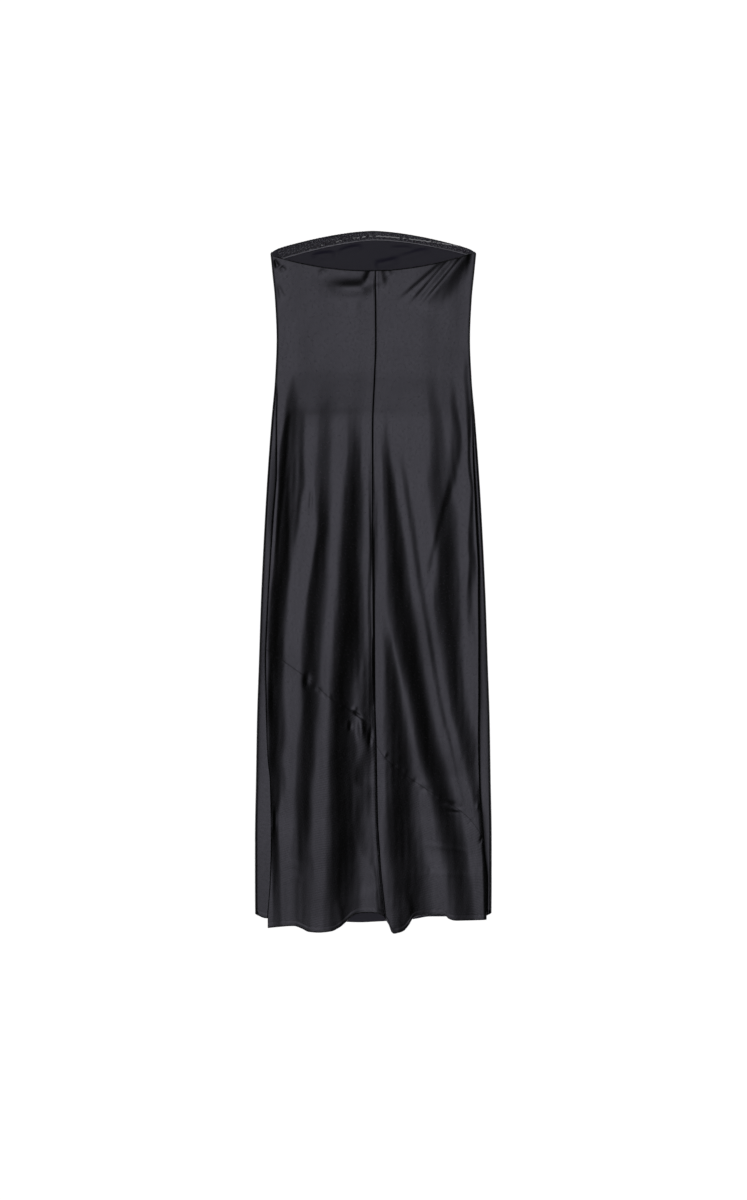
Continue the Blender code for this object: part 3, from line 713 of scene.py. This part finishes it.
def elasticNodes(tree):
    place = addNode(tree, "UVMap", {"uv_map": "cloth"})
    ribs = addNode(tree, "TexWave", {"wave_type": "BANDS", "bands_direction": "X"},
        {"Scale": bandLength / elastic["ribPitch"], "Distortion": 1.0, "Detail": 2.0},
        {"Vector": (place, "UV")})
    bump = addNode(tree, "Bump", None, {"Strength": 0.6, "Distance": elastic["ribDepth"]},
        {"Height": (ribs, "Fac")})
    specks = addNode(tree, "TexNoise", None,
        {"Scale": 1 / elastic["threadSize"], "Detail": 3.0, "Roughness": 0.7},
        {"Vector": (place, "UV")})
    # pale rubber threads whose near-white colour is partly their own and partly a painted highlight for
    # their glints
    glint = addNode(tree, "MapRange", None,
        between(*elastic["threadGlintShows"]), {"Value": (specks, "Fac")})
    across = addNode(tree, "Attribute", {"attribute_name": "acrossBand"})
    # painted highlight: a pale line along the selvedge at the inner edge
    edge = addNode(tree, "MapRange", smoothStep,
        between(*elastic["selvedgeHighlightStart"]), {"Value": (across, "Fac")})
    yarnAndGlint = addNode(tree, "Mix", {"data_type": "RGBA"},
        {"A": linear(elastic["colour"]), "B": linear(elastic["threadAndGlint"])},
        {"Factor": (glint, "Result")})
    # painted shade: the outer edge takes a near-black colour
    outer = addNode(tree, "MapRange", smoothStep,
        between(*elastic["foldEnd"]), {"Value": (across, "Fac")})
    shaded = addNode(tree, "Mix", {"data_type": "RGBA"}, {"A": linear(elastic["fold"])},
        {"Factor": (outer, "Result"), "B": (yarnAndGlint, "Result")})
    whole = addNode(tree, "Mix", {"data_type": "RGBA"}, {"B": linear(elastic["selvedgeHighlight"])},
        {"Factor": (edge, "Result"), "A": (shaded, "Result")})
    return addNode(tree, "BsdfPrincipled", None,
        {"Roughness": elastic["roughness"], "Specular IOR Level": elastic["specular"]},
        {"Base Color": (whole, "Result"), "Normal": (bump, "Normal")})


# Clear silicone gripper, cast in a bead: dashes of painted highlight in near white, with the dark band
# showing through the clear silicone between them
silicone = {
    "highlightWhite": "#f6f5fb",
    "seeThrough": "#4a4853",
    "gloss": 0.15,
    "ior": 1.43,
    "dashSize": 0.006,
    "dashShows": (0.46, 0.56),
    "lumpSize": 0.006,
    "lumpDepth": 0.0010,
    "highlightLeastAt": -0.090,         # the painted highlight shows least at the left end
    "highlightMostAt": 0.10,
    "highlightShift": (-0.10, 0.14),  # taken off or added to the painted highlight at these two places
}


def siliconeNodes(tree):
    place = addNode(tree, "TexCoord")
    parts = addNode(tree, "SeparateXYZ", None, None, {"Vector": (place, "Object")})
    along = addNode(tree, "MapRange", None,
        {**between(silicone["highlightLeastAt"], silicone["highlightMostAt"]),
         "To Min": silicone["highlightShift"][0], "To Max": silicone["highlightShift"][1]},
        {"Value": (parts, "X")})
    dashes = addNode(tree, "TexNoise", None,
        {"Scale": 1 / silicone["dashSize"], "Detail": 1.0},
        {"Vector": (place, "Object")})
    total = addNode(tree, "Math", {"operation": "ADD"}, None,
        {0: (dashes, "Fac"), 1: (along, "Result")})
    # painted highlight: where the dashes show, the bead takes a near-white colour
    depth = addNode(tree, "MapRange", smoothStep,
        between(*silicone["dashShows"]), {"Value": (total, "Value")})
    body = addNode(tree, "Mix", {"data_type": "RGBA"},
        {"A": linear(silicone["seeThrough"]), "B": linear(silicone["highlightWhite"])},
        {"Factor": (depth, "Result")})
    lumps = addNode(tree, "TexNoise", None,
        {"Scale": 1 / silicone["lumpSize"], "Detail": 2.0},
        {"Vector": (place, "Object")})
    bump = addNode(tree, "Bump", None, {"Strength": 0.6, "Distance": silicone["lumpDepth"]},
        {"Height": (lumps, "Fac")})
    return addNode(tree, "BsdfPrincipled", None,
        {"Roughness": silicone["gloss"], "IOR": silicone["ior"]},
        {"Base Color": (body, "Result"), "Normal": (bump, "Normal")})


charmeuseSatin = newMaterial("charmeuseSatin", satinNodes)
satinReverse = newMaterial("satinReverse", reverseNodes)
wovenElastic = newMaterial("wovenElastic", elasticNodes)
castSilicone = newMaterial("castSilicone", siliconeNodes)
print("materials made")


backPieces = {
    "thickness": 0.0006,
    "seamGap": 0.00016,
    "diagonalGap": 0.00006,
    "columns": 110,
    "upperRows": 300,
    "lowerRows": 110,
    "columnCrowding": 0.75,   # columns lie closer at the seams, and rows at the ends
    "rowCrowding": 0.8,
    "settleRounds": 5,        # rounds in which x and y settle together
    "neckRoll": 0.0022,       # the neck edge is turned in over this width
    "neckDrop": 0.0012,
    "hemDepth": 0.0085,       # width of the turned hem, up to its stitch line
    "hemLift": 0.0003,
    "hemStep": 0.0012,
    "hemGroove": 0.0003,
    "hemGrooveWidth": 0.0009,
    "hemRoll": 0.0018,
    "hemDrop": 0.0013,
}


# Turned neck edge: the height falls off as a parabola over the last stretch before the edge
def neckTurn(x, y):
    near = np.clip(1 - (backNeck(x) - y) / backPieces["neckRoll"], 0, 1)
    return -backPieces["neckDrop"] * near**2


# Turned hem: a little thicker below its stitch line, which lies in a groove, and round below
def hemTurn(x, y, hem):
    up = y - hem(x)
    double = backPieces["hemLift"] * (1 - ease((up - backPieces["hemDepth"]) / backPieces["hemStep"]))
    groove = -backPieces["hemGroove"] * bell(up - backPieces["hemDepth"], backPieces["hemGrooveWidth"])
    edge = -backPieces["hemDrop"] * np.clip(1 - up / backPieces["hemRoll"], 0, 1) ** 2
    return double + groove + edge


# A panel between two side lines x(y) and two end lines y(x): equal shares of the way from one
# to the other
def backPoints(left, right, top, bottom, rows):
    across = crowded(backPieces["columns"], backPieces["columnCrowding"])[None, :]
    down = crowded(rows, backPieces["rowCrowding"])[:, None]
    y = top(0.0) + (bottom(0.0) - top(0.0)) * down + 0 * across
    for _ in range(backPieces["settleRounds"]):
        x = left(y) + (right(y) - left(y)) * across
        y = top(x) + (bottom(x) - top(x)) * down
    x = left(y) + (right(y) - left(y)) * across
    z = backHeight(x, y) + neckTurn(x, y) + hemTurn(x, y, backHem)
    return np.stack([x, y, z], axis=-1)


# The same line, moved aside
def moved(line, distance):
    return lambda at: line(at) + distance


halfGap = backPieces["seamGap"] / 2
halfDiagonal = backPieces["diagonalGap"] / 2
backSides = {
    "Left": (moved(leftSeam, halfGap), moved(centreSeam, -halfGap)),
    "Right": (moved(centreSeam, halfGap), moved(rightSeam, -halfGap)),
}
backEnds = {
    "Upper": (backNeck, moved(diagonalSeam, halfDiagonal), backPieces["upperRows"]),
    "Lower": (moved(diagonalSeam, -halfDiagonal), backHem, backPieces["lowerRows"]),
}
for side, (left, right) in backSides.items():
    for end, (top, bottom, rows) in backEnds.items():
        piece = gridPiece(f"back{side}{end}", backPoints(left, right, top, bottom, rows),
                          [charmeuseSatin, satinReverse])
        thicken(piece, backPieces["thickness"])
        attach(piece, "root")
        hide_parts(f"back_{side.lower()}_{end.lower()}")
print("back pieces made")


frontPanel = {
    "thickness": 0.0006,
    "rows": 240,
    "rowCrowding": 0.8,
    "stripColumns": 10,       # on top, between each side seam and the turn
    "stripCrowding": 0.5,
    "rollSteps": 14,
    "bottomColumns": 110,
    "leastStrip": 0.0003,     # what stays flat between a side seam and the turn, at the least
    "leftPower": 1.2,         # how suddenly each strip falls off towards its seam
    "rightPower": 2.0,
    "settleRounds": 6,
}


# How much lower a strip of the front lies towards its side seam: a power of the distance from
# the turned edge, and a lip that rolls down at the seam itself
def stripFall(rows, seam, power, x, y, share):
    lip = followed(rows, 3, y) * bell(x - seam(y), seams["sideRoll"])
    return followed(rows, 2, y) * (1 - share) ** power + lip


# Columns of the front panel, from the left side seam over, round and under to the right
# one: how far along its stretch each lies and its height. A side turns in half an ellipse.
def frontPoints():
    down = crowded(frontPanel["rows"], frontPanel["rowCrowding"])
    turn = np.linspace(0, math.pi, frontPanel["rollSteps"] + 1)
    strip = crowded(frontPanel["stripColumns"], frontPanel["stripCrowding"])[:-1]
    bottom = np.linspace(0, 1, frontPanel["bottomColumns"] + 1)[1:-1]
    roll = [(math.sin(a), (1 + math.cos(a)) / 2) for a in turn]
    stretches = [("leftStrip", share, 1.0) for share in strip]
    stretches += [("leftRoll", *place) for place in roll]
    stretches += [("bottom", share, 0.0) for share in bottom]
    stretches += [("rightRoll", *place) for place in roll[::-1]]
    stretches += [("rightStrip", share, 1.0) for share in strip[::-1]]
    columns = []
    for stretch, value, height in stretches:
        y = lie["frontPeak"] * (1 - 2 * down)
        for _ in range(frontPanel["settleRounds"]):
            leftStart, rightStart = leftSeam(y) - halfGap, rightSeam(y) + halfGap
            leftWide = np.minimum(lie["rollWidth"], halfWidth(y) + leftStart - frontPanel["leastStrip"])
            rightWide = np.minimum(lie["rollWidth"], halfWidth(y) - rightStart - frontPanel["leastStrip"])
            leftEdge, rightEdge = leftWide - halfWidth(y), halfWidth(y) - rightWide
            x = {
                "leftStrip": leftStart + (leftEdge - leftStart) * value,
                "leftRoll": leftEdge - leftWide * value,
                "bottom": leftEdge + (rightEdge - leftEdge) * value,
                "rightRoll": rightEdge + rightWide * value,
                "rightStrip": rightStart + (rightEdge - rightStart) * value,
            }[stretch]
            y = frontNeck(x) + (frontHem(x) - frontNeck(x)) * down
        z = height * sideHeight(y)
        if stretch == "bottom":
            z = z + creases(x, y, insideRows)
        if stretch == "leftStrip":
            z = z - stripFall(leftSeamRows, leftSeam, frontPanel["leftPower"], x, y, value)
        if stretch == "rightStrip":
            z = z - stripFall(rightSeamRows, rightSeam, frontPanel["rightPower"], x, y, value)
        if "Strip" in stretch:
            z = z + hemTurn(x, y, frontHem)
        columns.append(np.stack([x, y, z], axis=-1))
    return np.stack(columns, axis=1)


front = gridPiece("frontPanel", frontPoints()[:, ::-1], [charmeuseSatin, satinReverse])
thicken(front, frontPanel["thickness"])
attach(front, "root")
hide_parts("front_panel")
print("front panel made")


neckBand = {
    "inset": 0.0002,
    "scallop": 0.00045,       # the elastic pulls its outer edge into scallops
    "scallopPitch": 0.0054,
    "scallopStray": (1.4, 43),  # how far and how fast their spacing strays, as angles
    "leastPull": 0.25,        # it pulls most on the left and by this share on the right
    "pullEnd": 0.04,
    "pullOver": 0.12,
    "depth": 0.0174,          # from its outer to its inner edge, and how that grows to the right
    "depthChange": 0.0050,
    "reach": 0.172,
    "height": 0.0028,
    "thickness": 0.0006,
    "columns": 640,
    "rows": 18,
    "gatherPitch": 0.0054,    # spacing of the gathers across it
    "gatherStray": (2.2, 61),
    "gatherLean": 3,          # and how far they lean on the way across, as an angle
    "gather": 0.00035,
    "gatherFade": 0.6,        # they flatten by this share towards its inner edge
    "rib": 0.00016,
    "ribs": 3,
    "edgeDrop": 0.0011,       # the outer edge rolls down over this share of its depth
    "edgeShare": 0.12,
}


# How hard the elastic pulls: fully on the left, easing to its least on the right
def pull(x):
    left = ease((neckBand["pullEnd"] - x) / neckBand["pullOver"])
    return neckBand["leastPull"] + (1 - neckBand["leastPull"]) * left


# Waves along the band whose spacing strays as a slower sine
def strayed(x, pitch, stray):
    return 2 * math.pi * x / pitch + stray[0] * np.sin(x * stray[1])


def bandTop(x):
    wave = np.sin(strayed(x, neckBand["scallopPitch"], neckBand["scallopStray"]))
    return frontNeck(x) - neckBand["inset"] + neckBand["scallop"] * pull(x) * wave


def bandBottom(x):
    return frontNeck(x) - neckBand["depth"] + neckBand["depthChange"] * x / lie["frontFallAt"]


# The band waves up and down where it is gathered, has ribs along it and rolls down at its
# outer edge
def bandPoints():
    x = np.linspace(-neckBand["reach"], neckBand["reach"], neckBand["columns"] + 1)[None, :]
    share = np.linspace(0, 1, neckBand["rows"] + 1)[:, None]
    y = bandTop(x) + (bandBottom(x) - bandTop(x)) * share
    lean = neckBand["gatherLean"] * share
    wave = np.sin(strayed(x, neckBand["gatherPitch"], neckBand["gatherStray"]) + lean)
    z = neckBand["height"] + neckBand["gather"] * pull(x) * wave * (1 - neckBand["gatherFade"] * share)
    z = z + neckBand["rib"] * np.sin(2 * math.pi * neckBand["ribs"] * share)
    z = z - neckBand["edgeDrop"] * np.clip(1 - share / neckBand["edgeShare"], 0, 1) ** 2
    return np.stack([x + 0 * y, y, z], axis=-1)


band = gridPiece("neckBand", bandPoints(), [wovenElastic])
fromTop = np.repeat(np.linspace(0, 1, neckBand["rows"] + 1), neckBand["columns"] + 1)
acrossBand = band.data.attributes.new("acrossBand", "FLOAT", "POINT")
acrossBand.data.foreach_set("value", fromTop.astype(np.float32))
thicken(band, neckBand["thickness"], 0)
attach(band, "root")
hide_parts("front_neck_band")

siliconeLine = {
    "inset": 0.0098,
    "leftDrift": 0.05,        # how fast it leaves the edge towards the left
    "rightDrift": 0.012,      # how much nearer it comes at the right side seam
    "driftPower": 2.2,        # it comes nearer as this power of x, fully at driftAt
    "driftAt": 0.18,
    "waver": 0.0004,          # it was laid by a nozzle that wavered this far and this often
    "waverLength": 0.009,
    "width": 0.0017,
    "reach": 0.158,
    "height": 0.0031,
    "rise": 0.0007,
    "fullness": 0.98,         # how far round its section goes, 1 for half an ellipse
    "thickness": 0.0004,
    "columns": 400,
    "rows": 8,
}


# A bead whose section is most of half an ellipse, at a distance from the neck edge that grows
# evenly to the left and shrinks as a power to the right
def siliconePoints():
    x = np.linspace(-siliconeLine["reach"], siliconeLine["reach"], siliconeLine["columns"] + 1)[None, :]
    share = np.linspace(-1, 1, siliconeLine["rows"] + 1)[:, None]
    inset = siliconeLine["inset"] + siliconeLine["leftDrift"] * np.maximum(-x, 0)
    rightShare = (np.maximum(x, 0) / siliconeLine["driftAt"]) ** siliconeLine["driftPower"]
    inset = inset - siliconeLine["rightDrift"] * rightShare
    waver = siliconeLine["waver"] * np.sin(x * 2 * math.pi / siliconeLine["waverLength"])
    y = frontNeck(x) - inset + waver - siliconeLine["width"] / 2 * share
    z = siliconeLine["height"] + siliconeLine["rise"] * np.sqrt(1 - siliconeLine["fullness"] * share**2)
    return np.stack([x + 0 * y, y, z + 0 * x], axis=-1)


bead = gridPiece("siliconeLine", siliconePoints(), [castSilicone])
thicken(bead, siliconeLine["thickness"], 0)
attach(bead, "root")
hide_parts("silicone_line")

tape = {
    "width": 0.020,
    "top": 0.552,
    "end": 0.277,
    "thickness": 0.0006,
    "below": 0.0016,          # how far under the face of the back it lies
    "points": (120, 13),      # down and across
}


# The tape follows the centre seam and the folds above it
def tapePoints():
    y = np.linspace(tape["top"], tape["end"], tape["points"][0])[:, None]
    across = np.linspace(-tape["width"] / 2, tape["width"] / 2, tape["points"][1])[None, :]
    x = centreSeam(y) + across
    y = y + 0 * x
    z = sideHeight(y) - lie["centreDip"] + foldHeight(x, y) - tape["below"]
    return np.stack([x, y, z], axis=-1)


# the tape takes the elastic's material; it has no acrossBand attribute, so it shows the painted shade of
# the band's outer edge all over
zipTape = gridPiece("zipTape", tapePoints(), [wovenElastic])
thicken(zipTape, tape["thickness"], 0)
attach(zipTape, "root")
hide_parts("centre_back_zip")
print("band, silicone and zip made")


studio = {
    "floorHeight": -0.0004,
    "floorSize": 24,
    "floorColour": "#f4f4f4",
    "floorGlow": 0.90,        # a lit white sweep, so the cloth lies on even white
    "paperGrain": 0.0025,
    "paperDepth": 0.0002,
    "boxHeight": 5.0,         # a wide, weak lamp
    "boxWidth": 4.4,
    "boxLength": 6.4,
    "boxRadiance": 0.04,
    "cameraHeight": 4.2,
    "sensor": 36,             # in millimetres
    "farthest": 50,
    "frameLength": 2.160,     # what the camera takes in along Y at the cloth
    "centre": (0.0003, -0.0324),
    "overhead": 2.25,         # glow straight above, which fades around it
    "overheadWide": 0.225,
    "overheadLong": 0.285,
    "overheadTilt": 0.040,    # how far up the dress its middle lies
    "skyFill": 0.008,
    "skyEdge": 0.16,          # low in the sky, where a glancing look finds it in the satin
    "skyEdgeTop": (0.05, 0.60),  # it fades between these heights, as shares of the way up
}


# Matt white paper, pressed smooth, with a faint tooth that keeps it from shining
def paperNodes(tree):
    place = addNode(tree, "TexCoord")
    tooth = addNode(tree, "TexNoise", None,
        {"Scale": 1 / studio["paperGrain"], "Detail": 2.0},
        {"Vector": (place, "Object")})
    bump = addNode(tree, "Bump", None, {"Strength": 0.05, "Distance": studio["paperDepth"]},
        {"Height": (tooth, "Fac")})
    return addNode(tree, "BsdfPrincipled", None,
        {"Base Color": linear(studio["floorColour"]), "Roughness": 0.9,
         "Specular IOR Level": 0.1, "Emission Color": (1, 1, 1, 1),
         "Emission Strength": studio["floorGlow"]},
        {"Normal": (bump, "Normal")})


def makeFloor():
    half, z = studio["floorSize"] / 2, studio["floorHeight"]
    mesh = bpy.data.meshes.new("floor")
    mesh.from_pydata([(-half, -half, z), (half, -half, z), (half, half, z), (-half, half, z)],
                     [], [(0, 1, 2, 3)])
    mesh.materials.append(newMaterial("whitePaperSweep", paperNodes))
    floor = bpy.data.objects.new("floor", mesh)
    bpy.context.scene.collection.objects.link(floor)


def makeLamp():
    lamp = bpy.data.lights.new("softBox", "AREA")
    lamp.shape = "RECTANGLE"
    lamp.size = studio["boxWidth"]
    lamp.size_y = studio["boxLength"]
    # a lamp's radiance is its power over its area and pi
    lamp.energy = studio["boxRadiance"] * math.pi * lamp.size * lamp.size_y
    softBox = bpy.data.objects.new("softBox", lamp)
    softBox.location = (0, 0, studio["boxHeight"])
    bpy.context.scene.collection.objects.link(softBox)


# A dim sky, brighter low down, with a soft glow overhead that the satin mirrors
def makeSky():
    world = bpy.data.worlds.new("studio")
    world.use_nodes = True
    tree = world.node_tree
    tree.nodes.clear()
    place = addNode(tree, "TexCoord")
    parts = addNode(tree, "SeparateXYZ", None, None, {"Vector": (place, "Generated")})
    edge = addNode(tree, "MapRange", smoothStep,
        {**between(*studio["skyEdgeTop"]), "To Min": studio["skyEdge"], "To Max": studio["skyFill"]},
        {"Value": (parts, "Z")})
    # a bell across both directions of the overhead glow
    aside = addNode(tree, "VectorMath", {"operation": "SUBTRACT"},
        {1: (0, studio["overheadTilt"], 0)},
        {0: (place, "Generated")})
    scaled = addNode(tree, "VectorMath", {"operation": "MULTIPLY"},
        {1: (1 / studio["overheadWide"], 1 / studio["overheadLong"], 0)},
        {0: (aside, "Vector")})
    squared = addNode(tree, "VectorMath", {"operation": "DOT_PRODUCT"}, None,
        {0: (scaled, "Vector"), 1: (scaled, "Vector")})
    negative = addNode(tree, "Math", {"operation": "MULTIPLY"}, {1: -1},
        {0: (squared, "Value")})
    fading = addNode(tree, "Math", {"operation": "EXPONENT"}, None,
        {0: (negative, "Value")})
    total = addNode(tree, "Math", {"operation": "MULTIPLY_ADD"},
        {1: studio["overhead"]},
        {0: (fading, "Value"), 2: (edge, "Result")})
    glow = addNode(tree, "Background", None, {"Color": (1, 1, 1, 1)},
        {"Strength": (total, "Value")})
    addNode(tree, "OutputWorld", None, None, {"Surface": (glow, "Background")})
    bpy.context.scene.world = world


def makeCamera():
    lens = bpy.data.cameras.new("camera")
    lens.sensor_fit = "VERTICAL"
    lens.sensor_height = studio["sensor"]
    lens.lens = studio["sensor"] * studio["cameraHeight"] / studio["frameLength"]
    lens.clip_end = studio["farthest"]
    camera = bpy.data.objects.new("camera", lens)
    camera.location = (*studio["centre"], studio["cameraHeight"])
    bpy.context.scene.collection.objects.link(camera)
    bpy.context.scene.camera = camera


makeFloor()
makeLamp()
makeSky()
makeCamera()
bpy.context.scene.view_settings.view_transform = "Standard"
bpy.context.scene.view_settings.look = "None"
print("studio made")
